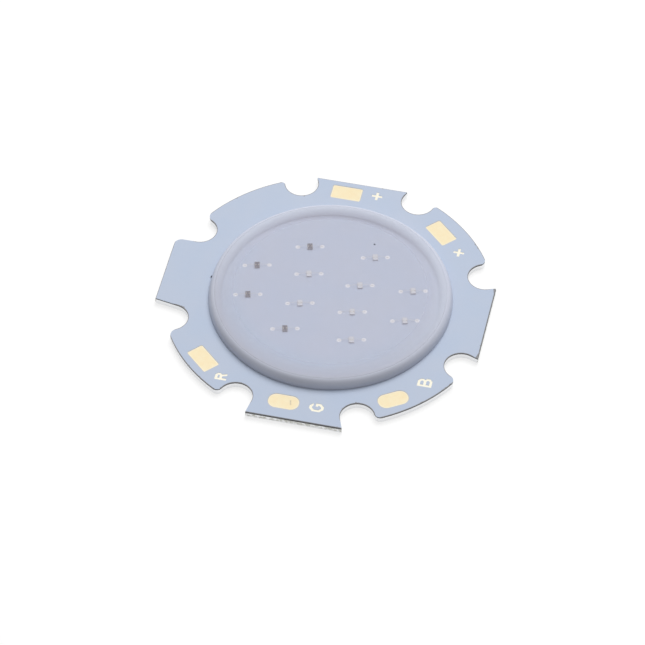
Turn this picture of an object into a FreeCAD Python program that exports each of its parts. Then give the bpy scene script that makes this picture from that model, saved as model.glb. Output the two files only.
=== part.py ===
import FreeCAD, Part
import math
import os

# A round chip-on-board light source. Twelve bare dies, four of each colour, sit on a white
# board with an aluminium core, inside a moulded ring that holds a pool of clear gel.
# The origin is the centre of the rim circle, on the heat-sink face. +Z is the way the light
# leaves, and +Y points at the edge that has a plus pad. All sizes are in mm, angles in degrees.

V = FreeCAD.Vector
ORIGIN = V(0, 0, 0)
UP = V(0, 0, 1)
LEFT = -1
RIGHT = 1

# Outline of the board: a rim circle, eight screw notches, and four flats snapped off a panel.
# An inset counts inwards from the rim circle, so the left flat stands a little proud of it.
plate_radius = 13.87
notch_radius = 1.43
notch_inset = 0.54
notch_angle = 22.5
flat_inset_right = 0.44
flat_inset_far = 0.60
flat_inset_left = -0.20
flat_inset_near = 0.08
ear_radius_right = 0.55
ear_radius_far = 0.30
ear_radius_left = 0.70
ear_radius_near = 0.50
mouth_lean = 20.0
slight_lean = 10.0
left_corner_radius = 0.7
score_depth = 0.17
web_proud = 0.06

# Layers of the board, from the heat-sink face up
core_thickness = 0.45
dielectric_thickness = 0.09
copper_thickness = 0.035
gold_thickness = 0.01
mask_over_copper = 0.025

# Solder pads, and how far in from the rim circle the centre of each stands
pad_length = 2.62
pad_width = 1.52
pad_chamfer = 0.12
oval_pad_end_flat = 0.12
plus_pad_far_inset = 1.79
plus_pad_right_inset = 1.83
red_pad_inset = 1.41
green_pad_inset = 1.74
blue_pad_inset = 1.43

# Terminal marks, placed the same way
mark_stroke = 0.22
plus_span = 0.90
letter_height = 1.20
letter_width = 0.90
small_letter_height = 0.98
small_letter_width = 0.74
plus_mark_far_inset = 1.53
plus_mark_right_inset = 1.76
letter_r_inset = 1.34
letter_g_inset = 1.64
letter_b_inset = 1.56

# Die sites: four columns by two rows, with a shorter row at each end, all turned one way.
# Rows and columns stand at shares of the ring's inner radius, so the dies spread with the ring.
layout_x = 0.12
layout_y = 0.12
outer_column_share = 0.7363
end_column_share = 0.3099
inner_row_share = 0.1868
end_row_share = 0.5214
low_site_drop = 0.36
site_turn = 14.0

# Bond pads, eight-sided, and the tracks that join them under the mask
bond_pad_reach = 1.03
bond_pad_radius = 0.20
bond_pad_sides = 8
track_width = 0.7
land_margin = 0.12
supply_drop = 2.365

# Dies, the glue under them, and the gold wires, six-sided, from die to bond pad
die_width = 0.42
die_length = 0.64
die_thickness = 0.12
glue_thickness = 0.015
glue_margin = 0.04
contact_reach = 0.11
wire_sides = 6
wire_radius = 0.0125
ball_radius = 0.034
ball_height = 0.018
loop_rise = 0.09
tail_length = 0.08

# Ring and gel. A few straight steps follow the half-elliptical section of the ring, and the
# curve in which the gel climbs it, to within 0.03.
ring_x = 0.16
ring_y = -0.05
ring_outer_radius = 10.23
ring_width = 1.13
ring_height = 0.95
ring_steps = 8
gel_drop = 0.05
meniscus_rise = 0.07
meniscus_reach = 0.8
meniscus_steps = 2

# Heights that follow from the layers
dielectric_z = core_thickness
copper_z = dielectric_z + dielectric_thickness
gold_z = copper_z + copper_thickness
gold_top = gold_z + gold_thickness
mask_top = gold_z + mask_over_copper
glue_top = mask_top + glue_thickness
die_top = glue_top + die_thickness

# Distances in plan that follow from the ring
ring_middle = ring_outer_radius - ring_width / 2
ring_inner_radius = ring_outer_radius - ring_width
outer_column_half = ring_inner_radius * outer_column_share
inner_column_half = outer_column_half / 3
end_column_half = ring_inner_radius * end_column_share
inner_row_half = ring_inner_radius * inner_row_share
end_row_half = ring_inner_radius * end_row_share

# Where each pad and mark stands: bearing of its centre, inset, and turn of its long side
PLACES = {
    "plus_pad_far": (95.2, plus_pad_far_inset, 0.0),
    "plus_pad_right": (50.1, plus_pad_right_inset, -44.0),
    "red_pad": (-133.8, red_pad_inset, -43.0),
    "green_pad": (-95.2, green_pad_inset, 0.0),
    "blue_pad": (-52.5, blue_pad_inset, 32.0),
    "plus_mark_far": (82.9, plus_mark_far_inset, 0.0),
    "plus_mark_right": (37.3, plus_mark_right_inset, 0.0),
    "letter_r": (-122.5, letter_r_inset, 90.0),
    "letter_g": (-82.2, letter_g_inset, 90.0),
    "letter_b": (-37.7, letter_b_inset, 90.0),
}


def polar(radius, bearing):
    """Plan point at a distance from the origin, on a bearing counted from +X towards +Y."""
    angle = math.radians(bearing)
    return V(radius * math.cos(angle), radius * math.sin(angle), 0)


def turned(point, turn):
    return FreeCAD.Rotation(UP, turn).multVec(point)


def unit(vector):
    return V(vector).normalize()


def line(start, end):
    return Part.LineSegment(start, end).toShape()


def arc(start, through, end):
    return Part.Arc(start, through, end).toShape()


def prism(corners, z, height):
    """Upright prism over a closed polygon of plan points."""
    base = [V(p.x, p.y, z) for p in corners]
    return Part.Face(Part.makePolygon(base + base[:1])).extrude(UP * height)


def round_prism(centre, radius, sides, z, height):
    """Prism with this many equal sides, one of them facing +X, its faces at the radius."""
    step = 360 / sides
    across = radius / math.cos(math.radians(step / 2))
    return prism([centre + polar(across, step * (n + 0.5)) for n in range(sides)], z, height)


def bar(length, width, z, height):
    """Block about the origin with its long side along X."""
    return Part.makeBox(length, width, height, V(-length / 2, -width / 2, z))


def upright_edges(solid):
    return [e for e in solid.Edges if e.BoundBox.XLength + e.BoundBox.YLength < e.BoundBox.ZLength]


def placed(shape, point, turn=0.0):
    """Copy of a shape made about the origin, turned and set down at a plan point."""
    copy = shape.copy()
    copy.rotate(ORIGIN, UP, turn)
    copy.translate(V(point.x, point.y, 0))
    return copy


def spot(name):
    """Plan point at which a pad or mark stands."""
    bearing, inset, turn = PLACES[name]
    return polar(plate_radius - inset, bearing)


def set_at(shape, name):
    bearing, inset, turn = PLACES[name]
    return placed(shape, spot(name), turn)


def joined(shapes):
    """One solid from shapes that overlap or touch."""
    whole = shapes[0]
    if len(shapes) > 1:
        whole = whole.multiFuse(shapes[1:])
    whole = whole.removeSplitter()
    return whole.Solids[0] if len(whole.Solids) == 1 else whole


# Each flat faces +X in its own frame: its reach, the turn that brings it to its side of the
# board, the round on the ears beyond its notches, and, below it and above it, the lean of the
# notch's wall outwards and the round on the flat's corner
FLATS = [
    (plate_radius - flat_inset_right, 0.0, ear_radius_right,
     {-1: (mouth_lean, 0.0), 1: (mouth_lean, 0.0)}),
    (plate_radius - flat_inset_far, 90.0, ear_radius_far,
     {-1: (mouth_lean, 0.0), 1: (mouth_lean, 0.0)}),
    (plate_radius - flat_inset_left, 180.0, ear_radius_left,
     {-1: (0.0, left_corner_radius), 1: (-slight_lean, 0.0)}),
    (plate_radius - flat_inset_near, 270.0, ear_radius_near,
     {-1: (slight_lean, 0.0), 1: (mouth_lean, 0.0)}),
]


def notch_centre(side):
    """Centre of the notch above (1) or below (-1) a flat that faces +X."""
    return polar(plate_radius - notch_inset, side * notch_angle)


def ear_centre(side, ear_radius):
    """Centre of an ear's round, which touches the rim from inside and the notch from outside."""
    to_notch = plate_radius - notch_inset
    to_ear = plate_radius - ear_radius
    between = notch_radius + ear_radius
    swing = math.acos((to_notch ** 2 + to_ear ** 2 - between ** 2) / (2 * to_notch * to_ear))
    return polar(to_ear, side * (notch_angle + math.degrees(swing)))


def ear_on_rim(side, ear_radius):
    """Point where an ear's round runs out into the rim."""
    return unit(ear_centre(side, ear_radius)) * plate_radius


def corner_round(before, corner, after, radius):
    """Ends and middle of the arc that rounds a corner between two straight runs."""
    back = unit(before - corner)
    ahead = unit(after - corner)
    half_angle = back.getAngle(ahead) / 2
    centre = corner + unit(back + ahead) * (radius / math.sin(half_angle))
    run = radius / math.tan(half_angle)
    return corner + back * run, centre - unit(back + ahead) * radius, corner + ahead * run


def notch_edges(side, reach, ear_radius, lean, corner_radius):
    """Edges from the middle of a flat that faces +X, through one notch and its ear, to the rim.

    The wall leaves the round of the notch at a tangent and leans out to the flat's corner.
    """
    notch = notch_centre(side)
    ear = ear_centre(side, ear_radius)
    angle = math.radians(lean)
    touch = notch + V(math.sin(angle), -side * math.cos(angle), 0) * notch_radius
    corner = V(reach, touch.y + side * (reach - touch.x) * math.tan(angle), 0)
    middle = V(reach, 0, 0)
    if corner_radius:
        first, through, last = corner_round(middle, corner, touch, corner_radius)
        edges = [line(middle, first), arc(first, through, last), line(last, touch)]
    else:
        edges = [line(middle, corner), line(corner, touch)]
    to_notch = unit(notch - ear)
    outward = unit(ear)
    ear_start = ear + to_notch * ear_radius
    ear_tip = ear + unit(to_notch + outward) * ear_radius
    innermost = notch - unit(notch) * notch_radius
    edges.append(arc(touch, innermost, ear_start))
    edges.append(arc(ear_start, ear_tip, ear_on_rim(side, ear_radius)))
    return edges


def outline_face():
    """Plan outline of the board, each flat with the run of the rim that follows it."""
    edges = []
    for flat, following in zip(FLATS, FLATS[1:] + FLATS[:1]):
        reach, turn, ear_radius, sides = flat
        next_ear = turned(ear_on_rim(-1, following[2]), 90)
        quarter = [arc(ear_on_rim(1, ear_radius), polar(plate_radius, 45), next_ear)]
        for side, (lean, corner_radius) in sides.items():
            quarter += notch_edges(side, reach + web_proud, ear_radius, lean, corner_radius)
        for edge in quarter:
            edge.rotate(ORIGIN, UP, turn)
        edges += quarter
    return Part.Face(Part.Wire(Part.sortEdges(edges)[0]))


OUTLINE = outline_face()


def score_wedges():
    """What the V-score takes off the top and bottom edges of the four flats."""
    wedges = []
    half = notch_centre(1).y
    for reach, turn, ear_radius, sides in FLATS:
        web = reach + web_proud
        for face_z, inwards in ((mask_top, -1), (0.0, 1)):
            root_z = face_z + inwards * score_depth
            away_z = face_z - inwards * score_depth
            section = [
                V(reach, -half, face_z),
                V(web, -half, root_z),
                V(web + score_depth, -half, root_z),
                V(web + score_depth, -half, away_z),
                V(reach, -half, away_z),
            ]
            wedge = Part.Face(Part.makePolygon(section + section[:1])).extrude(V(0, 2 * half, 0))
            wedges.append(placed(wedge, ORIGIN, turn))
    return wedges


WEDGES = score_wedges()


def board_layer(z, height):
    """A full sheet of the board between two heights, with the scored edges."""
    sheet = OUTLINE.copy()
    sheet.translate(UP * z)
    return joined([sheet.extrude(UP * height).cut(WEDGES)])


def sites():
    """Plan centre of each die, by colour, in the order that the current meets them."""
    red = [
        V(-end_column_half, end_row_half, 0),
        V(-outer_column_half, inner_row_half, 0),
        V(-outer_column_half, -inner_row_half, 0),
        V(-end_column_half, -end_row_half, 0),
    ]
    green = [
        V(inner_column_half, inner_row_half - low_site_drop, 0),
        V(inner_column_half, -inner_row_half, 0),
        V(-inner_column_half, inner_row_half, 0),
        V(-inner_column_half, -inner_row_half, 0),
    ]
    blue = [V(-p.x, p.y, 0) for p in red]
    layout = V(layout_x, layout_y, 0)
    by_colour = {"red": red, "green": green, "blue": blue}
    return {colour: [p + layout for p in by_colour[colour]] for colour in by_colour}


SITES = sites()


def bond_point(colour, number, side):
    """Centre of the bond pad on one side of a die; the dies of a colour count from 1."""
    return SITES[colour][number - 1] + turned(V(side * bond_pad_reach, 0, 0), site_turn)


def ribbon(points, width, z, height):
    """Strip along a line of plan points, mitred at its bends and square past its ends."""
    runs = [unit(b - a) for a, b in zip(points[:-1], points[1:])]
    before = [runs[0]] + runs
    after = runs + [runs[-1]]
    left = []
    right = []
    for point, come, go in zip(points, before, after):
        across = unit(UP.cross(come) + UP.cross(go))
        mitre = across * (width / 2 / across.dot(UP.cross(go)))
        left.append(point + mitre)
        right.append(point - mitre)
    overrun = width / 2
    for edge in (left, right):
        edge[0] = edge[0] - runs[0] * overrun
        edge[-1] = edge[-1] + runs[-1] * overrun
    return prism(left + right[::-1], z, height)


def track(*points):
    return ribbon(points, track_width, copper_z, copper_thickness)


def land(name):
    """Copper under a solder pad, wider than the pad so that the mask laps it all round."""
    length = pad_length + 2 * land_margin
    width = pad_width + 2 * land_margin
    return set_at(bar(length, width, copper_z, copper_thickness), name)


# Which bond pads each link joins: colour, die and side at either end
LINKS = {
    "red_link_1": (("red", 1, LEFT), ("red", 2, RIGHT)),
    "red_link_2": (("red", 2, LEFT), ("red", 3, LEFT)),
    "red_link_3": (("red", 3, RIGHT), ("red", 4, LEFT)),
    "green_link_1": (("green", 1, RIGHT), ("green", 2, RIGHT)),
    "green_link_2": (("green", 2, LEFT), ("green", 3, RIGHT)),
    "green_link_3": (("green", 3, LEFT), ("green", 4, LEFT)),
    "blue_link_1": (("blue", 1, RIGHT), ("blue", 2, LEFT)),
    "blue_link_2": (("blue", 2, RIGHT), ("blue", 3, RIGHT)),
    "blue_link_3": (("blue", 3, LEFT), ("blue", 4, RIGHT)),
}


def copper():
    """The nets: one shared anode, a cathode for each colour, and the links between dies.

    The trunk of the anode leaves the far pad at a slant, which keeps it clear of the mark.
    """
    first_red = bond_point("red", 1, RIGHT)
    first_green = bond_point("green", 1, LEFT)
    first_blue = bond_point("blue", 1, LEFT)
    supply = spot("plus_pad_far")
    second_supply = spot("plus_pad_right")
    trunk_head = V(first_green.x - track_width, supply.y - supply_drop, 0)
    trunk_foot = V(trunk_head.x, first_blue.y, 0)
    branch = V((trunk_head.x + second_supply.x) / 2, trunk_head.y, 0)
    nets = {}
    nets["anode_copper"] = joined([
        track(supply, trunk_head, trunk_foot, first_green),
        track(first_red, first_blue),
        track(trunk_head, branch, second_supply),
        land("plus_pad_far"),
        land("plus_pad_right"),
    ])
    for name, (start, end) in LINKS.items():
        nets[name] = track(bond_point(*start), bond_point(*end))
    last_red = bond_point("red", 4, RIGHT)
    last_green = bond_point("green", 4, RIGHT)
    last_blue = bond_point("blue", 4, LEFT)
    below = -end_row_half - 3 * track_width
    red_way = track(last_red, V(last_red.x, below, 0), spot("red_pad"))
    green_way = track(last_green, V(layout_x, -end_row_half, 0), spot("green_pad"))
    blue_way = track(last_blue, V(last_blue.x, below, 0), spot("blue_pad"))
    nets["red_cathode_copper"] = joined([red_way, land("red_pad")])
    nets["green_cathode_copper"] = joined([green_way, land("green_pad")])
    nets["blue_cathode_copper"] = joined([blue_way, land("blue_pad")])
    return nets


def solder_pads(z, height):
    """The five solder pads by name: three with broken corners, two with rounded ends."""
    block = bar(pad_length, pad_width, z, height)
    square = block.makeChamfer(pad_chamfer, upright_edges(block))
    oval = block.makeFillet((pad_width - oval_pad_end_flat) / 2, upright_edges(block))
    shapes = {
        "plus_pad_far": square,
        "plus_pad_right": square,
        "red_pad": square,
        "green_pad": oval,
        "blue_pad": oval,
    }
    return {name: set_at(shape, name) for name, shape in shapes.items()}


def plus_mark(z, height):
    return joined([
        bar(plus_span, mark_stroke, z, height),
        bar(mark_stroke, plus_span, z, height),
    ])


def bowl(left, right, low, high, z, height):
    """Block with a square left side and its two right corners cut off, as a bowl of a letter."""
    cut = (high - low) / 3
    return prism([
        V(left, low, 0), V(right - cut, low, 0), V(right, low + cut, 0),
        V(right, high - cut, 0), V(right - cut, high, 0), V(left, high, 0),
    ], z, height)


def letter_b(z, height):
    """Two bowls, the upper one narrower, each with its counter cut out."""
    w = letter_width / 2
    h = letter_height / 2
    s = mark_stroke
    solid = joined([
        bowl(-w, w, -h, s / 2, z, height),
        bowl(-w, w - s / 4, -s / 2, h, z, height),
    ])
    solid = solid.cut(bowl(s - w, w - s, s - h, -s / 2, z, height))
    return joined([solid.cut(bowl(s - w, w - s - s / 4, s / 2, h - s, z, height))])


def letter_r(z, height):
    """A stem, one bowl at the top, and a leg that leaves the bowl's foot."""
    w = small_letter_width / 2
    h = small_letter_height / 2
    s = mark_stroke
    top = bowl(-w, w, -s / 2, h, z, height)
    top = top.cut(bowl(s - w, w - s, s / 2, h - s, z, height))
    stem = prism([V(-w, -h, 0), V(s - w, -h, 0), V(s - w, 0, 0), V(-w, 0, 0)], z, height)
    leg = prism([V(0, 0, 0), V(w - s, -h, 0), V(w, -h, 0), V(s, 0, 0)], z, height)
    return joined([top, stem, leg])


def letter_g(z, height):
    """A stroke round an eight-sided body, open at the upper right, with a bar at its end."""
    w = letter_width / 2
    h = letter_height / 2
    s = mark_stroke
    body = bar(letter_width, letter_height, z, height)
    body = body.makeChamfer(letter_width / 3, upright_edges(body))
    counter = bar(letter_width - 2 * s, letter_height - 2 * s, z, height)
    counter = counter.makeChamfer(letter_width / 3 - s / 2, upright_edges(counter))
    gap = prism([V(0, s / 2, 0), V(w, s / 2, 0), V(w, h / 2, 0), V(0, h / 2, 0)], z, height)
    foot = prism([V(s / 2, -s / 2, 0), V(w, -s / 2, 0), V(w, s / 2, 0), V(s / 2, s / 2, 0)], z, height)
    return joined([body.cut(counter).cut(gap), foot])


def marks(z, height):
    """Terminal marks by name."""
    shapes = {
        "plus_mark_far": plus_mark(z, height),
        "plus_mark_right": plus_mark(z, height),
        "letter_r": letter_r(z, height),
        "letter_g": letter_g(z, height),
        "letter_b": letter_b(z, height),
    }
    return {name: set_at(shape, name) for name, shape in shapes.items()}


def bond_pads(colour, z, height):
    """The eight bond pads of a colour, one each side of each die."""
    pad = round_prism(ORIGIN, bond_pad_radius, bond_pad_sides, z, height)
    dies = range(1, len(SITES[colour]) + 1)
    return [placed(pad, bond_point(colour, n, side), site_turn) for n in dies for side in (LEFT, RIGHT)]


def solder_mask(nets):
    """White mask over and between the copper, open at the pads, the bond pads and the marks."""
    depth = mask_top - copper_z
    sheet = board_layer(copper_z, depth).cut(list(nets.values()))
    openings = list(solder_pads(copper_z, depth).values()) + list(marks(copper_z, depth).values())
    for colour in SITES:
        openings += bond_pads(colour, copper_z, depth)
    return joined([sheet.cut(openings)])


def die():
    """Bare die on its glue, about the origin."""
    return bar(die_width, die_length, glue_top, die_thickness)


def glue():
    return bar(die_width + 2 * glue_margin, die_length + 2 * glue_margin, mask_top, glue_thickness)


def bond_wire():
    """Gold wire from the ball on the die, up, over and down to its tail on the bond pad."""
    foot = V(contact_reach, 0, die_top + ball_height)
    neck = foot + UP * loop_rise
    tail = V(bond_pad_reach - tail_length / 2, 0, gold_top + wire_radius)
    tip = tail + V(tail_length, 0, 0)
    path = Part.makePolygon([foot, neck, tail, tip])
    section = round_prism(foot, wire_radius, wire_sides, foot.z, ball_height).Faces[-2].OuterWire
    ball = round_prism(foot, ball_radius, wire_sides, die_top, ball_height)
    return joined([path.makePipeShell([section], True, False, 1), ball])


def wire_pair():
    right = bond_wire()
    return [right, placed(right, ORIGIN, 180)]


def arch_point(facing):
    """Point of the ring's half-elliptical section whose surface faces this way, 0 being outwards."""
    half = ring_width / 2
    across = math.cos(math.radians(facing))
    up = math.sin(math.radians(facing))
    size = math.hypot(half * across, ring_height * up)
    return V(ring_middle + half ** 2 * across / size, 0, mask_top + ring_height ** 2 * up / size)


def revolved(profile):
    """Solid of revolution about the ring's own axis."""
    solid = Part.Face(Part.makePolygon(profile + profile[:1])).revolve(ORIGIN, UP, 360)
    solid.translate(V(ring_x, ring_y, 0))
    return solid


def gel_ring():
    """Half-elliptical bead around the dies, laid on the mask."""
    return revolved([arch_point(180 * n / ring_steps) for n in range(ring_steps + 1)])


def gel_pool(ring, inside):
    """Clear gel inside the ring, level in the middle and drawn up where it wets the ring."""
    climb = 1 - gel_drop / ring_height
    inner_half = ring_width / 2 * math.sqrt(1 - climb ** 2)
    contact = V(ring_middle - inner_half, 0, mask_top + climb * ring_height)
    bend = (meniscus_reach ** 2 + meniscus_rise ** 2) / (2 * meniscus_rise)
    hub = contact + V(-meniscus_reach, 0, bend - meniscus_rise)
    whole_turn = math.asin(meniscus_reach / bend)
    angles = [whole_turn * n / meniscus_steps for n in range(meniscus_steps + 1)]
    climb_line = [hub + V(math.sin(a), 0, -math.cos(a)) * bend for a in angles]
    profile = [
        V(0, 0, climb_line[0].z),
        V(0, 0, mask_top),
        V(ring_middle, 0, mask_top),
        V(ring_middle, 0, contact.z),
    ]
    pool = revolved(profile + climb_line[::-1]).cut(ring)
    return joined([pool.cut(inside)])


def build():
    """Every piece by node name."""
    nodes = {}
    nodes["aluminium_core"] = board_layer(0, core_thickness)
    nodes["dielectric_layer"] = board_layer(dielectric_z, dielectric_thickness)
    nets = copper()
    nodes.update(nets)
    nodes["solder_mask"] = solder_mask(nets)
    nodes.update(solder_pads(gold_z, gold_thickness))
    nodes.update(marks(copper_z, gold_top - copper_z))
    inside = []
    for colour, spots in SITES.items():
        nodes[colour + "_bond_pads"] = Part.makeCompound(bond_pads(colour, gold_z, gold_thickness))
        beds = [placed(glue(), p, site_turn) for p in spots]
        wires = [placed(w, p, site_turn) for p in spots for w in wire_pair()]
        nodes[colour + "_die_glue"] = Part.makeCompound(beds)
        nodes[colour + "_bond_wires"] = Part.makeCompound(wires)
        dies = [placed(die(), p, site_turn) for p in spots]
        for number, chip in enumerate(dies, 1):
            nodes[colour + "_die_" + str(number)] = chip
        inside += beds + dies + wires
    nodes["gel_ring"] = gel_ring()
    nodes["gel_pool"] = gel_pool(nodes["gel_ring"], inside)
    return nodes


def write(nodes):
    os.makedirs("parts", exist_ok=True)
    for name, shape in nodes.items():
        shape.exportStep("parts/" + name + ".step")
        box = shape.BoundBox
        print(name, len(shape.Solids), "valid", shape.isValid(), "volume %.5f" % shape.Volume,
              "z %.3f to %.3f" % (box.ZMin, box.ZMax))


write(build())
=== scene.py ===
# %% [markdown]
# An RGB light source on a round board, dressed for its portrait.
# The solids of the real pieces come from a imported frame: board layers, pads, letters, dies.
# They stay where they are. This lesson gives them their finishes, and swaps the few pieces that
# have soft or very thin forms, the ring, the gel and the gold wires, for smooth surfaces.

import math

import bpy
import numpy as np
from mathutils import Matrix, Vector


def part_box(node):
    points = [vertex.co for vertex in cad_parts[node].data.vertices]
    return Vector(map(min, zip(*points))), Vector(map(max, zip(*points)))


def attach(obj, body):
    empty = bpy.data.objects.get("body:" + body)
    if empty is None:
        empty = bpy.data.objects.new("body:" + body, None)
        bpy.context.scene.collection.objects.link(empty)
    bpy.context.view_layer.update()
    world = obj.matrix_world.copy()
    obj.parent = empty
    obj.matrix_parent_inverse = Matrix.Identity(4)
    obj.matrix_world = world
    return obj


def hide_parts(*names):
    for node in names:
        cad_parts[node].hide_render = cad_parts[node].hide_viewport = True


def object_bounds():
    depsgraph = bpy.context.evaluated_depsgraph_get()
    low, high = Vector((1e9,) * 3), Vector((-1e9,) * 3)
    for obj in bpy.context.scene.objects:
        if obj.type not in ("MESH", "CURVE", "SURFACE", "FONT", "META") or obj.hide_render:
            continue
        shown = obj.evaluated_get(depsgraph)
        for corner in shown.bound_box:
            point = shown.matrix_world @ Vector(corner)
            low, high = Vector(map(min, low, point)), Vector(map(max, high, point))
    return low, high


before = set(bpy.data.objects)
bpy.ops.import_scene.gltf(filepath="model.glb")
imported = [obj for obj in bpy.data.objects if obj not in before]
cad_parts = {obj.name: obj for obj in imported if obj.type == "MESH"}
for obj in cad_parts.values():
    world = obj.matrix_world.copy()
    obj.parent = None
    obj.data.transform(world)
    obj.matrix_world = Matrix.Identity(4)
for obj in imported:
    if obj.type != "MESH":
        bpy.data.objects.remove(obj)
cad_low, cad_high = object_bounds()
mm = 0.001
print("board box in mm:", [round(v / mm, 2) for v in (*cad_low, *cad_high)])


# %% [markdown]
# Every new piece has to sit exactly on the solids that carry it. Typing their sizes again would
# work until one of them changed, so they are measured instead: the vertices of a node are read
# as one array, and its lowest, highest and outermost points give the sizes.

# %% Measure the ring
def points(node):
    """Vertices of a CAD node as an array of x, y, z, one row each."""
    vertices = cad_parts[node].data.vertices
    flat = np.zeros(len(vertices) * 3)
    vertices.foreach_get("co", flat)
    return flat.reshape(-1, 3)


ring_points = points("gel_ring")
axis_x, axis_y = ((ring_points.min(0) + ring_points.max(0))[:2] / 2).tolist()
ring_reach = np.hypot(ring_points[:, 0] - axis_x, ring_points[:, 1] - axis_y)
ring_outer, ring_inner = float(ring_reach.max()), float(ring_reach.min())
ring_middle = (ring_outer + ring_inner) / 2
ring_half = (ring_outer - ring_inner) / 2
mask_top = ring_points[:, 2].min()
ring_height = ring_points[:, 2].max() - mask_top
pad_top = points("red_bond_pads")[:, 2].max()
print("ring radii in mm:", round(ring_inner / mm, 3), round(ring_outer / mm, 3))
print("bond pads, mask and ring up to, in mm:",
      [round(z / mm, 3) for z in (pad_top, mask_top, mask_top + ring_height)])


# %% [markdown]
# The camera stands where the photographer's stood: close to fifty degrees above the table, with
# a long lens, the board turned a little to the left. A camera could be aimed by a constraint,
# but three axes worked out from two angles say more plainly where it looks.

# %% Set the camera
camera_lens = 209.76
camera_turn = math.radians(12.2685)
camera_elevation = math.radians(48.2569)
camera_roll = math.radians(-0.3842)
camera_distance = 312.48 * mm
camera_aim = Vector((0.115 * mm, -2.938 * mm, mask_top))

plan_ahead = Vector((-math.sin(camera_turn), math.cos(camera_turn), 0))
plan_right = Vector((math.cos(camera_turn), math.sin(camera_turn), 0))
ahead = plan_ahead * math.cos(camera_elevation) - Vector((0, 0, math.sin(camera_elevation)))
upright = plan_right.cross(ahead)
right = plan_right * math.cos(camera_roll) - upright * math.sin(camera_roll)
up = plan_right * math.sin(camera_roll) + upright * math.cos(camera_roll)

camera = bpy.data.objects.new("camera", bpy.data.cameras.new("camera"))
camera.data.lens = camera_lens
camera.data.clip_start = camera_distance / 10
camera.data.clip_end = camera_distance * 10
place = Matrix((right, up, -ahead)).transposed().to_4x4()
place.translation = camera_aim - ahead * camera_distance
camera.matrix_world = place
bpy.context.scene.collection.objects.link(camera)
bpy.context.scene.camera = camera
bpy.context.scene.view_settings.view_transform = "Standard"
print("camera at, in mm:", [round(v / mm, 1) for v in place.translation])


# %% [markdown]
# Shaders are sums and products of numbers that change over a surface. In Blender each sum is a
# Math node, and drawing twenty of them by hand hides the formula. The class Value wraps a
# socket, so that an ordinary Python expression adds the nodes, also where a plain number comes
# first, as in 1 - mask. The class Tree has the one method that adds any other node.

# %% Write shader maths as expressions
class Value:
    """An output socket in a tree. Arithmetic on it adds a Math node and gives its Value."""

    def __init__(self, tree, socket):
        self.tree = tree
        self.socket = socket

    def math(self, operation, *operands):
        return self.tree.add("ShaderNodeMath", {"operation": operation}, dict(enumerate(operands)))

    def __add__(self, other):
        return self.math("ADD", self, other)

    def __radd__(self, other):
        return self.math("ADD", other, self)

    def __sub__(self, other):
        return self.math("SUBTRACT", self, other)

    def __rsub__(self, other):
        return self.math("SUBTRACT", other, self)

    def __mul__(self, other):
        return self.math("MULTIPLY", self, other)

    def __rmul__(self, other):
        return self.math("MULTIPLY", other, self)

    def __pow__(self, other):
        return self.math("POWER", self, other)

    def __abs__(self):
        return self.math("ABSOLUTE", self)

    def __lt__(self, other):
        return self.math("LESS_THAN", self, other)

    def at_least(self, other):
        return self.math("MAXIMUM", self, other)

    def at_most(self, other):
        return self.math("MINIMUM", self, other)


class Tree:
    """The node tree of a material or of the world, emptied, with one way to add a node."""

    def __init__(self, owner):
        owner.use_nodes = True
        self.owner = owner
        self.nodes = owner.node_tree.nodes
        self.links = owner.node_tree.links
        self.nodes.clear()

    def add(self, kind, settings=None, sockets=None, out=0):
        """Adds a node: its settings first, then each socket gets a number or a link."""
        node = self.nodes.new(kind)
        for name, setting in (settings or {}).items():
            setattr(node, name, setting)
        for name, value in (sockets or {}).items():
            if isinstance(value, Value):
                self.links.new(value.socket, node.inputs[name])
            else:
                node.inputs[name].default_value = value
        return Value(self, node.outputs[out]) if node.outputs else node

    def close(self, shader):
        """Ends the tree in its output node and gives the finished material or world."""
        kind = "World" if isinstance(self.owner, bpy.types.World) else "Material"
        self.add("ShaderNodeOutput" + kind, sockets={"Surface": shader})
        return self.owner


def new_finish(name):
    return Tree(bpy.data.materials.new(name))


print("shader helpers ready:", Value.__name__, Tree.__name__)


# %% [markdown]
# The photograph was taken in a white tent: light from everywhere, and a little more from high
# behind the board. A single lamp would leave black shadows, and a bright sky alone would leave
# none. So a large soft lamp stands behind and above, and the world fills the rest. What the lens
# sees directly, or in a mirror, is plain white, while matt surfaces get only the fill: the
# Light Path node tells these rays apart, and its Diffuse Depth keeps light that has already
# touched a matt surface at the fill's level.

# %% Light the tent
fill_level = 0.35
lamp_power = 3.2
lamp_distance = 0.60
lamp_size = 0.45
lamp_lean = math.radians(33)
lamp_side = math.radians(-17)

sky = Tree(bpy.data.worlds.new("white_tent"))
bpy.context.scene.world = sky.owner


def seen_plainly(tree):
    """1 for a ray that comes straight, or by mirrors and glass alone, from the lens; else 0."""
    camera_ray, glossy_ray, through_ray, matt_bounces = (
        tree.add("ShaderNodeLightPath", out=name)
        for name in ("Is Camera Ray", "Is Glossy Ray", "Is Transmission Ray", "Diffuse Depth"))
    return (camera_ray + glossy_ray + through_ray).at_most(1) * (matt_bounces < 0.5)


sky_strength = fill_level + (1 - fill_level) * seen_plainly(sky)
sky.close(sky.add("ShaderNodeBackground", sockets={"Color": (1, 1, 1, 1), "Strength": sky_strength}))

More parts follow.
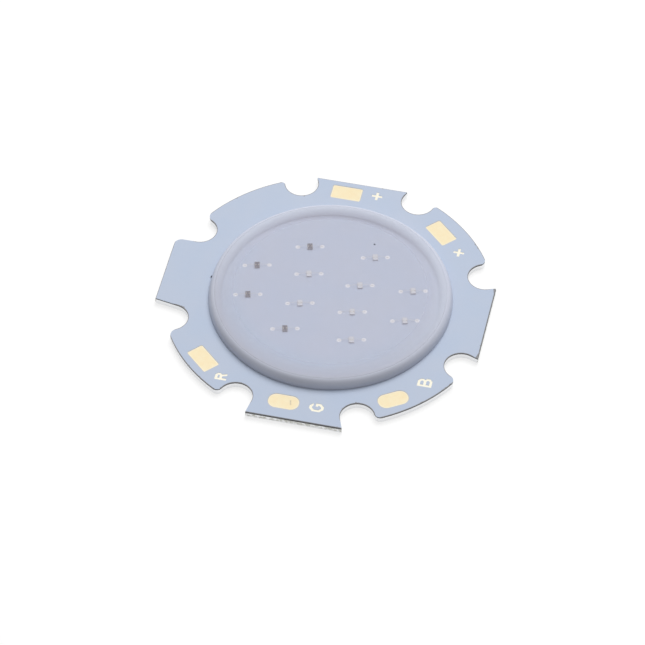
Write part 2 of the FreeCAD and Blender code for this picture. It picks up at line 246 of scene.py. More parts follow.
lamp = bpy.data.objects.new("soft_lamp", bpy.data.lights.new("soft_lamp", "AREA"))
lamp.data.shape = "DISK"
lamp.data.size = lamp_size
lamp.data.energy = lamp_power
lamp_bearing = camera_turn + lamp_side
lamp_way = Vector((-math.sin(lamp_bearing) * math.sin(lamp_lean),
                   math.cos(lamp_bearing) * math.sin(lamp_lean), math.cos(lamp_lean)))
lamp.location = lamp_way * lamp_distance
lamp.rotation_mode = "QUATERNION"
lamp.rotation_quaternion = lamp_way.to_track_quat("Z", "Y")
lamp.visible_glossy = False
lamp.visible_transmission = False
bpy.context.scene.collection.objects.link(lamp)
print("lamp at, in mm:", [round(v / mm) for v in lamp.location])


# %% [markdown]
# The table is white paper. It is one big square under the board, and it shows nearly white to
# the lens whatever light falls on it, by a share of plain glow, while the rest of it is matt
# paper that keeps the board's faint shadow.

# %% Lay the paper
paper_half = 1.0
paper_white = 0.95
paper_glow = 1.05
paper_glow_share = 0.72


def flat_sheet(name, half, z):
    """A square sheet about the origin, facing up."""
    corners = [(-half, -half, z), (half, -half, z), (half, half, z), (-half, half, z)]
    mesh = bpy.data.meshes.new(name)
    mesh.from_pydata(corners, [], [(0, 1, 2, 3)])
    sheet = bpy.data.objects.new(name, mesh)
    bpy.context.scene.collection.objects.link(sheet)
    return sheet


def paper():
    tree = new_finish("paper")
    matt = tree.add("ShaderNodeBsdfDiffuse", sockets={"Color": (paper_white,) * 3 + (1,)})
    glow = tree.add("ShaderNodeEmission", sockets={"Color": (1, 1, 1, 1), "Strength": paper_glow})
    share = paper_glow_share * seen_plainly(tree)
    return tree.close(tree.add("ShaderNodeMixShader", sockets={0: share, 1: matt, 2: glow}))


table = flat_sheet("paper_sheet", paper_half, cad_low.z)
table.data.materials.append(paper())
print("paper laid, half width in mm:", paper_half / mm)


# %% [markdown]
# Finishes read Object coordinates. Every piece stands at the origin, so these are metres on the
# real board, and a grain of a tenth of a millimetre is written as such. Small helpers serve all
# finishes: a colour as it looks on screen, a soft noise of a given grain, a smooth step, the
# blend of two colours, and the fine relief of a surface.

# %% Make helpers for finishes
def seen_colour(red, green, blue):
    """A colour as the screen shows it, 0 to 255, in the linear numbers of a shader."""
    share = np.array((red, green, blue)) / 255
    linear = np.where(share <= 0.04045, share / 12.92, ((share + 0.055) / 1.055) ** 2.4)
    return (*linear.tolist(), 1.0)


def on_piece(tree):
    return tree.add("ShaderNodeTexCoord", out="Object")


def noise(tree, where, grain, detail=2.0):
    """Noise from 0 to 1 whose patches are about one grain across."""
    return tree.add("ShaderNodeTexNoise", sockets={"Vector": where, "Scale": 1 / grain,
                                                   "Detail": detail})


def eased(tree, value, low, high):
    """0 below low, 1 above high, and a smooth rise between."""
    return tree.add("ShaderNodeMapRange", {"interpolation_type": "SMOOTHSTEP"},
                    {"Value": value, "From Min": low, "From Max": high})


def blend(tree, share, first, second):
    """The first colour where share is 0 and the second where it is 1."""
    return tree.add("ShaderNodeMix", {"data_type": "RGBA"}, {0: share, 6: first, 7: second}, out=2)


def relief(tree, height, depth):
    """Normals of a surface with this height, from 0 to 1, over a depth in metres."""
    return tree.add("ShaderNodeBump", sockets={"Height": height, "Distance": depth})


def dress(node, material):
    """Puts a finish on a CAD node."""
    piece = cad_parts[node]
    piece.data.materials.clear()
    piece.data.materials.append(material)


print("mask white in linear numbers:", [round(c, 3) for c in seen_colour(191, 201, 219)])


# %% [markdown]
# The board is routed: a turning cutter runs round the rim and dips into eight notches. Ink
# wears off along such an edge, so the mask's finish has to know how deep a point lies inside
# the outline. The outline could be painted on an image, but it is made of circles, and a
# circle's radius is easy to measure. Most points of the core share the rim's radius.

# %% Measure the outline
core_plan = points("aluminium_core")[:, :2]
core_reach = np.hypot(*core_plan.T)
reaches, shared_by = np.unique(np.round(core_reach / mm, 3), return_counts=True)
rim_radius = float(reaches[shared_by.argmax()]) * mm
notch_turn = math.pi / 8
ear_depth = 0.9 * mm


def fit_notches():
    """Radius of the circle of the notches' centres, and of a notch, by least squares.

    Points deeper than the rounded ears lie on the notches. Each is folded into one notch's
    sector, where u is its distance along the sector's middle line. With R for the circle of
    the centres and r for a notch, a point's distance from the board's middle, squared, is
    2 R u less (R squared less r squared), which is linear in both unknowns.
    """
    deep = core_reach < rim_radius - ear_depth
    bearing = np.arctan2(core_plan[deep, 1], core_plan[deep, 0])
    folded = bearing % (2 * notch_turn) - notch_turn
    u = core_reach[deep] * np.cos(folded)
    terms = np.stack([2 * u, -np.ones_like(u)], -1)
    circle, rest = np.linalg.lstsq(terms, core_reach[deep] ** 2, rcond=None)[0]
    return float(circle), math.sqrt(circle ** 2 - rest)


notch_circle, notch_radius = fit_notches()
print("rim, notch circle and notch radius in mm:",
      [round(r / mm, 3) for r in (rim_radius, notch_circle, notch_radius)])


# %% [markdown]
# The solder mask is printed ink, cured under a lamp: satin, cool white, with a faint unevenness
# and the fine orange peel of ink that levelled itself. Along the routed edge it is bared to a
# thin brown-grey line, wider where a chip came off. A paint texture could be drawn, but noises
# of different grain do it: one for the tone, one for the peel and one for the chips.

# %% Print the solder mask
edge_line = 0.06 * mm
chip_reach = 0.10 * mm
chip_from, chip_full = 0.62, 0.78
tab_start = -12.5 * mm
mask_low, mask_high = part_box("solder_mask")


def inside_board(tree, where):
    """Depth of a point inside the board's outline: the least of its depths inside each edge.

    The rim's depth is its radius less the point's distance from the middle. The bearing is
    folded eight times to an angle from the nearest notch, and the cosine rule gives the
    distance from that notch's centre. A flat's depth is taken from the mask's own box. The left
    and the near flat reach past the rim circle, so on their tabs the rim doesn't count.
    """
    x, y = (tree.add("ShaderNodeSeparateXYZ", sockets={0: where}, out=n) for n in range(2))
    reach = (x ** 2 + y ** 2) ** 0.5
    fold = notch_turn - x.math("PINGPONG", x.math("ARCTAN2", y, x), notch_turn)
    from_notch = (reach ** 2 + notch_circle ** 2
                  - 2 * notch_circle * reach * fold.math("COSINE", fold)) ** 0.5
    sides = (x - mask_low.x).at_most(mask_high.x - x)
    flats = sides.at_most((y - mask_low.y).at_most(mask_high.y - y))
    on_tab = x.at_most(y) < tab_start
    rim = (rim_radius - reach).at_least(on_tab * rim_radius)
    return rim.at_most(from_notch - notch_radius).at_most(flats)


def mask_ink():
    tree = new_finish("mask_ink")
    where = on_piece(tree)
    cloud = noise(tree, where, 3.0 * mm)
    peel = noise(tree, where, 0.14 * mm)
    tone = blend(tree, eased(tree, cloud, 0.3, 0.7), seen_colour(184, 196, 216),
                 seen_colour(187, 197, 215))
    chip = eased(tree, noise(tree, where, 0.4 * mm), chip_from, chip_full) * chip_reach
    bared = 1 - eased(tree, inside_board(tree, where) - chip, 0.5 * edge_line, edge_line)
    tone = blend(tree, bared * 0.8, tone, seen_colour(128, 122, 118))
    return tree.close(tree.add("ShaderNodeBsdfPrincipled", sockets={
        "Base Color": tone,
        "Roughness": 0.36 + 0.12 * peel,
        "Normal": relief(tree, peel, 0.002 * mm)}))


dress("solder_mask", mask_ink())
print("mask printed down from, in mm:", round(mask_top / mm, 3))


# %% [markdown]
# The core is rolled aluminium. Its back keeps the mill's straight lines, its notches are routed,
# and along the four flats the board was snapped from its panel: the score is smooth, and the
# middle, where the metal tore, is rough and dull. The torn band is found by height and by being
# within a tenth of a millimetre of the core's own box.

# %% Finish the aluminium
core_low, core_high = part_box("aluminium_core")
score_root = 0.17 * mm
edge_reach = 0.10 * mm


def bare_aluminium():
    tree = new_finish("bare_aluminium")
    where = on_piece(tree)
    x, y, z = (tree.add("ShaderNodeSeparateXYZ", sockets={0: where}, out=n) for n in range(3))
    past_right = x - (core_high.x - edge_reach)
    past_left = (core_low.x + edge_reach) - x
    past_far = y - (core_high.y - edge_reach)
    past_near = (core_low.y + edge_reach) - y
    on_flat = past_right.at_least(past_left).at_least(past_far.at_least(past_near))
    torn = eased(tree, on_flat, 0, edge_reach / 2) * eased(tree, z, score_root * 0.8, score_root)
    mill = tree.add("ShaderNodeMapping", sockets={"Vector": where, "Scale": (0.04, 1, 1)})
    lines = noise(tree, mill, 0.05 * mm)
    crumble = eased(tree, noise(tree, where, 0.3 * mm, 4.0), 0.35, 0.65)
    tone = blend(tree, torn * crumble, seen_colour(240, 241, 243), seen_colour(196, 196, 190))
    height = torn * crumble * 0.3 + (1 - torn) * lines * 0.1
    return tree.close(tree.add("ShaderNodeBsdfPrincipled", sockets={
        "Base Color": tone,
        "Metallic": 1.0,
        "Roughness": 0.30 + 0.1 * lines + 0.3 * torn,
        "Normal": relief(tree, height, 0.02 * mm)}))


dress("aluminium_core", bare_aluminium())
print("core thickness in mm:", round((core_high.z - core_low.z) / mm, 3))


# %% [markdown]
# Between metal and copper lies a thin sheet of resin filled with ceramic. It shows only at the
# edge, as the dark line under the mask. Its filler makes pale grains.

# %% Finish the dark sheet and the copper
def filled_resin():
    tree = new_finish("filled_resin")
    grains = noise(tree, on_piece(tree), 0.04 * mm, 3.0)
    tone = blend(tree, eased(tree, grains, 0.45, 0.75), seen_colour(70, 72, 74),
                 seen_colour(112, 114, 114))
    return tree.close(tree.add("ShaderNodeBsdfPrincipled", sockets={
        "Base Color": tone, "Roughness": 0.6 + 0.2 * grains,
        "Normal": relief(tree, grains, 0.004 * mm)}))


def etched_copper():
    tree = new_finish("etched_copper")
    bite = noise(tree, on_piece(tree), 0.02 * mm)
    tone = blend(tree, bite, seen_colour(222, 150, 118), seen_colour(196, 122, 92))
    return tree.close(tree.add("ShaderNodeBsdfPrincipled", sockets={
        "Base Color": tone, "Metallic": 1.0, "Roughness": 0.35 + 0.2 * bite,
        "Normal": relief(tree, bite, 0.003 * mm)}))


dress("dielectric_layer", filled_resin())
copper_finish = etched_copper()
copper_nodes = [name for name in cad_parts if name.endswith("_copper") or "_link_" in name]
for name in copper_nodes:
    dress(name, copper_finish)
print("copper pieces:", len(copper_nodes))


# %% [markdown]
# The solder pads are copper plated with nickel and a breath of gold. Under a white sky gold
# shows its palest tone. Along the rim, where the plating wraps the etched edge, a painted
# highlight makes it nearly white, up to a painted shadow of the mask's step, a thin brownish
# line at the very edge. Both follow the pad's outline, so the finish needs to know how deep a
# point lies inside it. An image could be painted for each pad, but a pad is a rectangle with
# rounded corners, and its depth is a short formula. The green pad also has a dull scratch, such
# as a test probe leaves.

# %% Plate the pads
pad_highlight_width = 0.16 * mm
pad_shadow_width = 0.06 * mm
scratch_place = 0.50 * mm
scratch_slant = -0.22
scratch_bend = 0.16 * mm
scratch_half = 0.10 * mm
scratch_middle = 0.02 * mm
scratch_reach = 0.30 * mm
sharp_corners, round_corners = 0.16, 0.95


def frame_of(node):
    """Centre, half length, half width and turn of a flat piece with a long side.

    The long side lies along the first principal axis of the vertices.
    """
    plan = points(node)[:, :2]
    centre = (plan.min(0) + plan.max(0)) / 2
    axes = np.linalg.svd(plan - centre, full_matrices=False)[2]
    half = np.abs((plan - centre) @ axes.T).max(0)
    turn = math.atan2(axes[0, 1], axes[0, 0])
    return centre, half[0], half[1], (turn + math.pi / 2) % math.pi - math.pi / 2


def in_frame(tree, centre, turn):
    """Object coordinates moved to a piece's centre and turned to its long side: along, across."""
    local = tree.add("ShaderNodeMapping", {"vector_type": "TEXTURE"}, {
        "Vector": on_piece(tree), "Location": (*centre, 0), "Rotation": (0, 0, turn)})
    return (tree.add("ShaderNodeSeparateXYZ", sockets={0: local}, out=n) for n in range(2))


def inside_rectangle(along, across, half_length, half_width, corner):
    """How deep a point lies inside a rectangle with rounded corners; negative outside.

    With the half sizes less the corner's radius taken off the distances from the axes, the
    depth is the radius less the length of what is left where it is positive, less the larger
    of the two where both are negative.
    """
    past_length = abs(along) - (half_length - corner)
    past_width = abs(across) - (half_width - corner)
    length = (past_length.at_least(0) ** 2 + past_width.at_least(0) ** 2) ** 0.5
    return corner - length - past_length.at_least(past_width).at_most(0)


def gold_pad(node, corner_share):
    """Pale plating for one pad; corner_share is its corner radius over its half width."""
    centre, half_length, half_width, turn = frame_of(node)
    tree = new_finish("gold_" + node)
    along, across = in_frame(tree, centre, turn)
    depth = inside_rectangle(along, across, half_length, half_width, half_width * corner_share)
    # Painted highlight: the pad's rim is nearly white.
    rim = 1 - eased(tree, depth, pad_highlight_width / 8, pad_highlight_width)
    where = on_piece(tree)
    bloom = noise(tree, where, 0.45 * mm)
    grain = noise(tree, where, 0.03 * mm)
    tone = blend(tree, bloom, seen_colour(252, 241, 209), seen_colour(250, 230, 188))
    tone = blend(tree, rim * 0.8, tone, seen_colour(255, 250, 232))
    # Painted shadow of the mask's step: a thin brownish line at the very edge.
    outline = 1 - eased(tree, depth, pad_shadow_width / 3, pad_shadow_width)
    tone = blend(tree, outline * 0.6, tone, seen_colour(190, 172, 144))
    if node == "green_pad":
        tone = blend(tree, probe_mark(tree, along, across), tone, seen_colour(196, 186, 168))
    return tree.close(tree.add("ShaderNodeBsdfPrincipled", sockets={
        "Base Color": tone, "Metallic": 1.0, "Roughness": 0.28 + 0.15 * grain,
        "Normal": relief(tree, grain + rim * 0.5, 0.003 * mm)}))


def probe_mark(tree, along, across):
    """The short dull scratch on the green pad: a soft leaning line, bent by a noise."""
    bends = noise(tree, on_piece(tree), 0.2 * mm)
    line = scratch_place + scratch_slant * across + scratch_bend * bends
    near_line = 1 - eased(tree, abs(along - line), scratch_half / 5, scratch_half)
    in_reach = 1 - eased(tree, abs(across - scratch_middle), scratch_reach * 2 / 3, scratch_reach)
    return near_line * in_reach * 0.6


for name in ("plus_pad_far", "plus_pad_right", "red_pad"):
    dress(name, gold_pad(name, sharp_corners))
for name in ("green_pad", "blue_pad"):
    dress(name, gold_pad(name, round_corners))
print("green pad, centre in mm and half sizes:", [np.round(np.array(v) / mm, 2).tolist()
      for v in frame_of("green_pad")[:3]])


# %% [markdown]
# The terminal marks and the small bond pads inside the ring are plated too. They are too
# narrow for a rim of their own, so each kind has one even, pale finish. The bond pads look
# white in the photograph, so theirs is duller and less like metal.

# %% Plate the marks and bond pads
def gold_detail(name, tone_low, tone_high, metallic):
    tree = new_finish(name)
    grain = noise(tree, on_piece(tree), 0.05 * mm)
    return tree.close(tree.add("ShaderNodeBsdfPrincipled", sockets={
        "Base Color": blend(tree, grain, tone_low, tone_high), "Metallic": metallic,
        "Roughness": 0.26 + 0.14 * grain, "Normal": relief(tree, grain, 0.002 * mm)}))


mark_finish = gold_detail("gold_marks", seen_colour(255, 252, 238), seen_colour(255, 248, 226), 1.0)
for name in ("plus_mark_far", "plus_mark_right", "letter_r", "letter_g", "letter_b"):
    dress(name, mark_finish)
bond_finish = gold_detail("gold_bond_pads", seen_colour(240, 242, 248),
                          seen_colour(242, 240, 240), 0.3)
colours = ("red", "green", "blue")
for colour in colours:
    dress(colour + "_bond_pads", bond_finish)
print("marks and bond pads plated")


# %% [markdown]
# A bare die is a sliver of crystal. The red ones are opaque, grey with a black middle. The green
# and blue ones are grown on clear sapphire, and look like the white under them with a fine
# darker outline and a patch of thin metal. Each has two round gold contacts, one for either
# wire.

# %% Finish the dies
contact_reach = 0.11 * mm
contact_radius = 0.045 * mm
patch_start = 0.07 * mm
patch_full = 0.12 * mm
die_corners = 0.05


def crystal(node, body_tone, edge_tone, edge_width, patch_tone, patch_share):
    """Finish of one die: a body, a mesa line along its edge, a metal patch and two contacts."""
    centre, half_length, half_width, turn = frame_of(node)
    tree = new_finish("crystal_" + node)
    along, across = in_frame(tree, centre, turn)
    depth = inside_rectangle(along, across, half_length, half_width, half_width * die_corners)
    edge = 1 - eased(tree, depth, edge_width * 0.5, edge_width)
    patch = eased(tree, depth, patch_start, patch_full) * patch_share
    from_contact = ((abs(across) - contact_reach) ** 2 + along ** 2) ** 0.5
    contact = 1 - eased(tree, from_contact, contact_radius * 0.85, contact_radius)
    tone = blend(tree, patch, body_tone, patch_tone)
    tone = blend(tree, edge, tone, edge_tone)
    tone = blend(tree, contact, tone, seen_colour(250, 232, 190))
    return tree.close(tree.add("ShaderNodeBsdfPrincipled", sockets={
        "Base Color": tone, "Metallic": contact, "Roughness": 0.12 + 0.2 * edge}))


for number in range(1, 5):
    dark = crystal("red_die_%d" % number, seen_colour(96, 97, 100), seen_colour(76, 76, 78),
                   0.03 * mm, seen_colour(8, 8, 9), 1.0)
    dress("red_die_%d" % number, dark)
    for colour in ("green", "blue"):
        clear = crystal("%s_die_%d" % (colour, number), seen_colour(222, 224, 230),
                        seen_colour(186, 186, 190), 0.045 * mm, seen_colour(206, 208, 208), 0.8)
        dress("%s_die_%d" % (colour, number), clear)
print("dies finished:", 3 * number)


# %% [markdown]
# Each die stands on a thin fillet of clear glue. It is nearly invisible, a slightly wet patch
# on the mask, so it takes the mask's tone with a gloss.

# %% Finish the glue
def wet_glue():
    tree = new_finish("wet_glue")
    ripple = noise(tree, on_piece(tree), 0.1 * mm)
    tone = blend(tree, ripple, seen_colour(188, 196, 208), seen_colour(196, 202, 212))
    return tree.close(tree.add("ShaderNodeBsdfPrincipled", sockets={
        "Base Color": tone, "Roughness": 0.12, "Normal": relief(tree, ripple, 0.004 * mm)}))


glue_finish = wet_glue()
for colour in colours:
    dress(colour + "_die_glue", glue_finish)
print("glue under dies of", len(colours), "colours")


# %% [markdown]
# New pieces are grids of points. A closed skin is either a tube whose rings end in two single
# points, its poles, or a ring that closes on itself both ways, like a tyre. The faces only
# depend on how many rows and columns there are, so index arithmetic on whole arrays makes them.
# The signed volume tells whether the faces look outwards, and if it is negative they are turned.

# %% Turn grids into meshes
def capped_faces(rows, columns):
    """Triangles of rows of points closed round, with the two poles as the last two points."""
    row, column = np.meshgrid(np.arange(rows - 1), np.arange(columns), indexing="ij")
    after = (column + 1) % columns
    a, b = row * columns + column, row * columns + after
    c, d = b + columns, a + columns
    body = np.concatenate([np.stack([a, b, c], -1), np.stack([a, c, d], -1)]).reshape(-1, 3)
    start, end = np.full(columns, rows * columns), np.full(columns, rows * columns + 1)
    side = np.arange(columns)
    beside = (side + 1) % columns
    last = (rows - 1) * columns
    first_cap = np.stack([start, beside, side], -1)
    last_cap = np.stack([end, last + side, last + beside], -1)
    return np.concatenate([body, first_cap, last_cap])


def tyre_faces(rows, columns):
    """Triangles of a grid that closes on itself along its rows and along its columns."""
    row, column = np.meshgrid(np.arange(rows), np.arange(columns), indexing="ij")
    below, after = (row + 1) % rows, (column + 1) % columns
    a, b = row * columns + column, row * columns + after
    c, d = below * columns + after, below * columns + column
    return np.concatenate([np.stack([a, b, c], -1), np.stack([a, c, d], -1)]).reshape(-1, 3)


def skin(rings, first_pole, last_pole):
    """Points and faces of one capped skin, from rings of shape (rows, columns, 3)."""
    rows, columns = rings.shape[:2]
    where = np.concatenate([rings.reshape(-1, 3), [first_pole], [last_pole]])
    return where, capped_faces(rows, columns)


def signed_volume(where, faces):
    """Sum over triangles of a . (b x c) / 6, positive when they look outwards."""
    a, b, c = (where[faces[:, n]] for n in range(3))
    return float(np.einsum("ij,ij->i", a, np.cross(b, c)).sum() / 6)


def make_piece(name, skins, material, replaced=()):
    """One object from several closed skins, smooth, riding on the board."""
    all_points, all_faces, count, volume = [], [], 0, 0.0
    for where, faces in skins:
        middle = where.mean(0)
        size = signed_volume(where - middle, faces)
        all_points.append(where)
        all_faces.append((faces if size > 0 else faces[:, ::-1]) + count)
        count += len(where)
        volume += abs(size)
    mesh = bpy.data.meshes.new(name)
    mesh.from_pydata(np.concatenate(all_points).tolist(), [], np.concatenate(all_faces).tolist())
    mesh.polygons.foreach_set("use_smooth", np.ones(len(mesh.polygons), bool))
    mesh.materials.append(material)
    piece = bpy.data.objects.new(name, mesh)
    bpy.context.scene.collection.objects.link(piece)
    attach(piece, "root")
    if replaced:
        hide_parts(*replaced)
    print(name, "faces", len(mesh.polygons), "volume in cubic mm", round(volume / mm ** 3, 4))


print("a cube's worth of faces:", len(capped_faces(2, 4)))


# %% [markdown]
# The ring is a bead of white silicone laid round the dies by a needle. Its section is half an
# ellipse. A torus primitive would be perfect, but a dispensed bead breathes: it strays by a
# hundredth of a millimetre or two, and its height by less, which is enough to make its
# highlight run unevenly. So the section is written as one angle and the way round as another,
# and the bead is a tyre-shaped grid. Its tone carries painted light and painted shade: the inner
# flank is painted brighter at the far side, standing in for light that crosses the silicone, and
# the side turned from the lamp is painted a little darker. Both are tones that only depend on
# where a point lies.

# %% Lay the silicone ring
ring_columns = 480
ring_rows = 60
waver_width = 0.012 * mm
waver_height = 0.004 * mm
crest_below_box = 0.07 * mm
crest_height = ring_height - crest_below_box
ring_bearings = np.linspace(0, 2 * np.pi, ring_columns, endpoint=False)
ring_shift = waver_width * (np.sin(3 * ring_bearings + 0.7) + 0.6 * np.sin(7 * ring_bearings + 2.1))
ring_crest = crest_height + waver_height * (np.sin(4 * ring_bearings + 1.9)
                                            - 0.5 * np.sin(9 * ring_bearings))


def round_axis(radius, height):
    """Points at these distances from the ring's axis and heights, at each of its bearings."""
    return np.stack(np.broadcast_arrays(axis_x + radius * np.cos(ring_bearings),
                                        axis_y + radius * np.sin(ring_bearings), height), -1)


section_trim = 1.6 * waver_width


def ring_grid():
    """Half an ellipse carried round the axis.

    A point's distance from the axis is the middle radius plus the half width times the cosine
    of the section angle, and its height is the crest's height times the sine. Two slow waves
    of the bearing waver the middle radius and the crest. The flat underside closes the grid.
    """
    section = np.linspace(0, np.pi, ring_rows)[:, None]
    radius = ring_middle + ring_shift + (ring_half - section_trim) * np.cos(section)
    return round_axis(radius, mask_top + ring_crest * np.sin(section))


# Where the painted shade on the ring and the gel's edge falls.
shade_way_x, shade_way_y = -0.3, -0.95
shade_start, shade_full = 6.8 * mm, 8.6 * mm
turned_from = -0.5
# Where the ring's inner flank gets painted light, from its near side to its far side.
lit_band = 0.12 * mm
lit_from_y, lit_full_y = -3.0 * mm, 6.0 * mm


def far_from_light(x, y):
    """Distance from the ring's axis, and the painted shade at a point of the ring or gel's edge.

    The shade is the product of two soft steps: out along the radius, and from the side
    turned to the lamp to the side turned from it.
    """
    from_x, from_y = x - axis_x, y - axis_y
    reach = (from_x ** 2 + from_y ** 2) ** 0.5
    turned = (from_x * shade_way_x + from_y * shade_way_y) * reach ** -1
    outwards = eased(x.tree, reach, shade_start, shade_full)
    return reach, outwards * eased(x.tree, turned, turned_from, 1.0)


def white_silicone():
    tree = new_finish("white_silicone")
    where = on_piece(tree)
    x, y = (tree.add("ShaderNodeSeparateXYZ", sockets={0: where}, out=n) for n in range(2))
    reach, shade = far_from_light(x, y)
    from_middle = reach - ring_middle
    cloud = noise(tree, where, 2.2 * mm)
    skin_grain = noise(tree, where, 0.3 * mm)
    tone = blend(tree, cloud, seen_colour(194, 199, 215), seen_colour(198, 202, 217))
    # Painted shade: the ring is a little darker on the side turned from the lamp.
    tone = blend(tree, shade, tone, seen_colour(190, 194, 208))
    # Painted light: the inner flank is lighter towards the far side, for light that crosses the
    # silicone.
    far_share = eased(tree, y, lit_from_y, lit_full_y)
    painted_inner_light = blend(tree, far_share, seen_colour(198, 203, 217), seen_colour(238, 241, 251))
    tone = blend(tree, 1 - eased(tree, from_middle, -lit_band, 0), tone, painted_inner_light)
    return tree.close(tree.add("ShaderNodeBsdfPrincipled", sockets={
        "Base Color": tone, "Roughness": 0.25 + 0.1 * cloud,
        "Normal": relief(tree, skin_grain, 0.004 * mm)}))


ring_skin = ring_grid().reshape(-1, 3), tyre_faces(ring_rows, ring_columns)
make_piece("silicone_ring", [ring_skin], white_silicone(), ["gel_ring"])


# %% [markdown]
# The gel is poured clear and cures to a soft, faintly milky solid. It fills the ring to the brim
# and wets it right over the crest, so that the two read as one low dome. Its top is level and
# bends down to the ring's outer slope. Its side runs hidden inside the ring and its underside
# just below the mask, so that no thin gap of air is left to catch a reflection. A flat disc
# inside the ring would be simpler, but it would leave the crest bare. The shader is clear gel
# mixed with a glossy, clouded one, whose share grows towards the wall and is whole at one dark
# speck. Near the wall on the side turned from the lamp, the clouded gel's tone carries painted
# shade. Only rays that come straight from the lens meet the clouded gel, and the lamp's light
# passes freely, or the dies under it would stand in the dark.

# %% Pour the gel
gel_rows = 60
bend_rows = 25
pole_gap = 0.3 * mm
gel_top = mask_top + ring_height - 0.003 * mm
bend_start = 8.9 * mm
lip_lean = math.radians(10)
lip_depth = 0.1 * mm
sunk = 0.02 * mm
gel_index = 1.41
haze_share = 0.38
wall_haze = 0.42
haze_from = bend_start - 1.0 * mm
haze_full = bend_start + 0.6 * mm
speck_x, speck_y = 2.66 * mm, 5.83 * mm
speck_radius = 0.10 * mm


def gel_skin():
    """A level disc whose edge bends down by the square of the way from the bend's start.

    The edge lies on the ring's outer slope where that leans as much as the gel does there: at
    a share s of the half width, with crest / half width * s / sqrt(1 - s * s) = tan(lean).
    """
    lean = math.tan(lip_lean) * ring_half / crest_height
    share = lean / math.sqrt(1 + lean ** 2)
    lip_radius = ring_middle + ring_shift + ring_half * share
    lip_height = mask_top + ring_crest * math.sqrt(1 - share ** 2)
    level = round_axis(np.linspace(pole_gap, bend_start, gel_rows)[:, None], gel_top)
    way = np.linspace(0, 1, bend_rows)[1:, None]
    bend = round_axis(bend_start + (lip_radius - bend_start) * way,
                      gel_top - (gel_top - lip_height) * way ** 2)
    inside = round_axis(lip_radius - lip_depth, mask_top + crest_height / 2)[None]
    under = round_axis(np.array([[ring_middle], [ring_middle / 2]]), pad_top - sunk)
    rings = np.concatenate([level, bend, inside, under])
    return skin(rings, (axis_x, axis_y, gel_top), (axis_x, axis_y, pad_top - sunk))


def milky_gel():
    tree = new_finish("milky_gel")
    where = on_piece(tree)
    cloud = noise(tree, where, 4.0 * mm)
    clear = tree.add("ShaderNodeBsdfPrincipled", sockets={
        "Base Color": (1, 1, 1, 1), "Roughness": 0.03, "IOR": gel_index,
        "Transmission Weight": 1.0})
    x, y = (tree.add("ShaderNodeSeparateXYZ", sockets={0: where}, out=n) for n in range(2))
    reach, shade = far_from_light(x, y)
    by_wall = eased(tree, reach, haze_from, haze_full)
    tone = blend(tree, cloud, seen_colour(191, 186, 199), seen_colour(195, 189, 201))
    tone = blend(tree, by_wall, tone, seen_colour(192, 197, 212))
    # Painted shade: the clouded gel is darker near the wall on the side turned from the lamp.
    tone = blend(tree, shade, tone, seen_colour(180, 182, 196))
    from_speck = ((x - speck_x) ** 2 + (y - speck_y) ** 2) ** 0.5
    speck = 1 - eased(tree, from_speck, speck_radius * 0.6, speck_radius)
    tone = blend(tree, speck, tone, seen_colour(52, 52, 58))
    haze = tree.add("ShaderNodeBsdfPrincipled", sockets={
        "Base Color": tone, "Roughness": 0.10, "IOR": gel_index})
    from_lens = tree.add("ShaderNodeLightPath", out="Is Camera Ray")
    share = (haze_share + wall_haze * by_wall).at_least(speck) * from_lens
    body = tree.add("ShaderNodeMixShader", sockets={0: share, 1: clear, 2: haze})
    open_way = tree.add("ShaderNodeBsdfTransparent")
    from_lamp = tree.add("ShaderNodeLightPath", out="Is Shadow Ray")
    return tree.close(tree.add("ShaderNodeMixShader", sockets={0: from_lamp, 1: body, 2: open_way}))


make_piece("poured_gel", [gel_skin()], milky_gel(), ["gel_pool"])


# %% [markdown]
# Two gold wires leave each die. A machine melts a ball on the wire's end, presses it on the
# contact, pulls the wire up and over in a loop, and stitches it flat on the bond pad. The loop
# is a cubic curve, and a round section is carried along it that spreads and flattens over the
# stitch. The ball is a flattened sphere. Blender's own curve objects would do for the loops, but
# not for a section that changes. All eight wires of a colour are one piece. They are thinner
# than the photograph can show in colour, so their gold is pale.

# %% Bond the wires
wire_radius = 0.0125 * mm
ball_radius = 0.034 * mm
ball_height = 0.018 * mm
loop_rise = 0.12 * mm
wire_steps = 40
wire_sides = 12
stitch_share = 0.10
stitch_overrun = 0.06 * mm
die_to_pads = 1.5 * mm
ball_rows, ball_columns = 10, 16


def pad_pair(colour, centre):
    """Centres of the two bond pads beside a die."""
    every = points(colour + "_bond_pads")
    near = every[np.hypot(every[:, 0] - centre[0], every[:, 1] - centre[1]) < die_to_pads]
    sides = [near[near[:, 0] < centre[0]], near[near[:, 0] > centre[0]]]
    return [(side.min(0) + side.max(0))[:2] / 2 for side in sides]


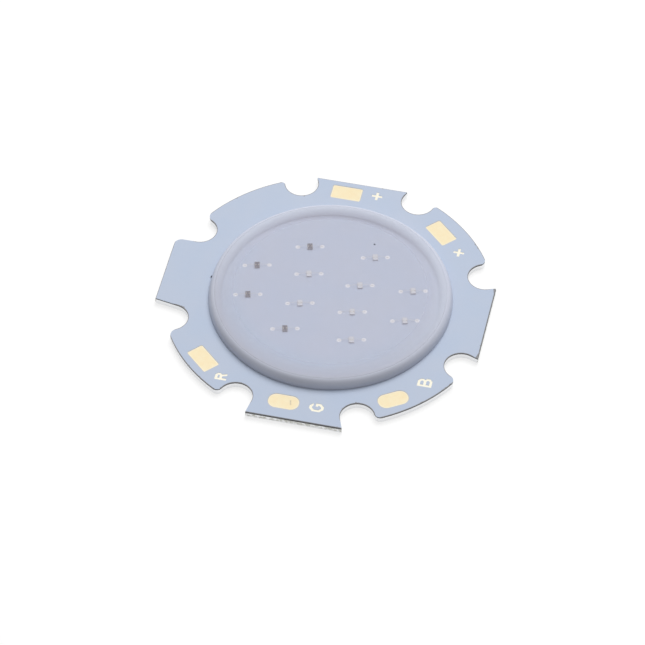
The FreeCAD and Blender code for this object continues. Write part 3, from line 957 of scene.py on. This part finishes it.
def wire_skin(centre, pad, die_top):
    """A tube along a cubic curve from the ball, up, over and down on to the pad.

    The curve's four handles are the ball, a point almost straight above it, a point low above
    the pad's near side, and the end of the stitch. At t, from 0 to 1, they weigh (1 - t) cubed,
    3 t (1 - t) squared, 3 t squared (1 - t) and t cubed. Near the end the section grows wider
    and thinner.
    """
    way = (pad - centre) / np.hypot(*(pad - centre))
    reach = np.hypot(*(pad - centre))
    foot_z = die_top + ball_height * 0.7
    handles = np.array([(contact_reach, foot_z),
                        (contact_reach * 1.1, foot_z + 1.6 * loop_rise),
                        (reach * 0.72, foot_z + 0.4 * loop_rise),
                        (reach + stitch_overrun, pad_top + wire_radius * 0.4)])
    t = np.linspace(0, 1, wire_steps)
    weights = np.stack([(1 - t) ** 3, 3 * t * (1 - t) ** 2, 3 * t ** 2 * (1 - t), t ** 3], -1)
    along, height = (weights @ handles).T
    slope = np.stack([np.gradient(along), np.gradient(height)], -1)
    slope /= np.hypot(slope[:, 0], slope[:, 1])[:, None]
    flat = np.clip((t - 1 + stitch_share) / stitch_share, 0, 1)
    wide, thin = wire_radius * (1 + 0.9 * flat), wire_radius * (1 - 0.65 * flat)
    angle = np.linspace(0, 2 * np.pi, wire_sides, endpoint=False)
    lift = thin[:, None] * np.sin(angle)
    aside = wide[:, None] * np.cos(angle)
    along = along[:, None] - slope[:, 1:] * lift
    height = height[:, None] + slope[:, :1] * lift
    rings = np.stack([centre[0] + way[0] * along - way[1] * aside,
                      centre[1] + way[1] * along + way[0] * aside, height], -1)
    return skin(rings, rings[0].mean(0), rings[-1].mean(0))


def ball_skin(centre, pad, die_top):
    """A flattened sphere on the contact: radius times the sine, half height times the cosine."""
    way = (pad - centre) / np.hypot(*(pad - centre))
    middle = centre + way * contact_reach
    polar = np.linspace(0, np.pi, ball_rows)[1:-1, None]
    angle = np.linspace(0, 2 * np.pi, ball_columns, endpoint=False)
    level = die_top + ball_height / 2
    rings = np.stack([middle[0] + ball_radius * np.sin(polar) * np.cos(angle),
                      middle[1] + ball_radius * np.sin(polar) * np.sin(angle),
                      level + ball_height / 2 * np.cos(polar) + 0 * angle], -1)
    return skin(rings, (*middle, level + ball_height / 2), (*middle, die_top))


def drawn_gold():
    tree = new_finish("drawn_gold")
    scuff = noise(tree, on_piece(tree), 0.02 * mm)
    tone = blend(tree, scuff, seen_colour(244, 240, 228), seen_colour(240, 234, 218))
    return tree.close(tree.add("ShaderNodeBsdfPrincipled", sockets={
        "Base Color": tone, "Metallic": 0.4, "Roughness": 0.18 + 0.1 * scuff}))


wire_finish = drawn_gold()
for colour in colours:
    skins = []
    for number in range(1, 5):
        die_name = "%s_die_%d" % (colour, number)
        die_top = points(die_name)[:, 2].max()
        centre = frame_of(die_name)[0]
        for pad in pad_pair(colour, centre):
            skins += [wire_skin(centre, pad, die_top), ball_skin(centre, pad, die_top)]
    make_piece(colour + "_gold_loops", skins, wire_finish, [colour + "_bond_wires"])


# %% [markdown]
# A board straight from the bag isn't clean. One dark crumb is caught at the ring's left foot.
# It is a small ball whose radius wavers with direction, and it rests on the mask. It could be
# a dark patch in the mask's finish, but it stands up and throws a shadow.

# %% Drop the crumb
crumb_rows = 9
crumb_columns = 14
crumb_x, crumb_y = -10.05 * mm, -0.02 * mm
crumb_radius = 0.095 * mm
crumb_height = 0.171 * mm
crumb_phase = 2.0


def crumb_skin():
    """A ball whose radius swells by two waves of its two angles, set down on the mask.

    Its sides are its radius times the swell times the sine of the polar angle, and its height
    is the crumb's height times (1 + cosine) / 2.
    """
    polar = np.linspace(0, np.pi, crumb_rows)[1:-1, None]
    angle = np.linspace(0, 2 * np.pi, crumb_columns, endpoint=False)[None, :]
    swell = (1 + 0.18 * np.sin(2 * angle + crumb_phase) * np.sin(polar)
             + 0.12 * np.sin(3 * angle - 2 * polar))
    reach = crumb_radius * swell * np.sin(polar)
    rings = np.stack([crumb_x + reach * np.cos(angle),
                      crumb_y + reach * np.sin(angle),
                      mask_top + crumb_height * (1 + np.cos(polar)) / 2 + 0 * angle], -1)
    return skin(rings, (crumb_x, crumb_y, mask_top + crumb_height), (crumb_x, crumb_y, mask_top))


def dark_dirt():
    tree = new_finish("dark_dirt")
    fleck = noise(tree, on_piece(tree), 0.05 * mm)
    tone = blend(tree, fleck, seen_colour(48, 48, 56), seen_colour(86, 84, 90))
    return tree.close(tree.add("ShaderNodeBsdfPrincipled", sockets={
        "Base Color": tone, "Roughness": 0.8, "Normal": relief(tree, fleck, 0.01 * mm)}))


make_piece("crumb_by_ring", [crumb_skin()], dark_dirt())
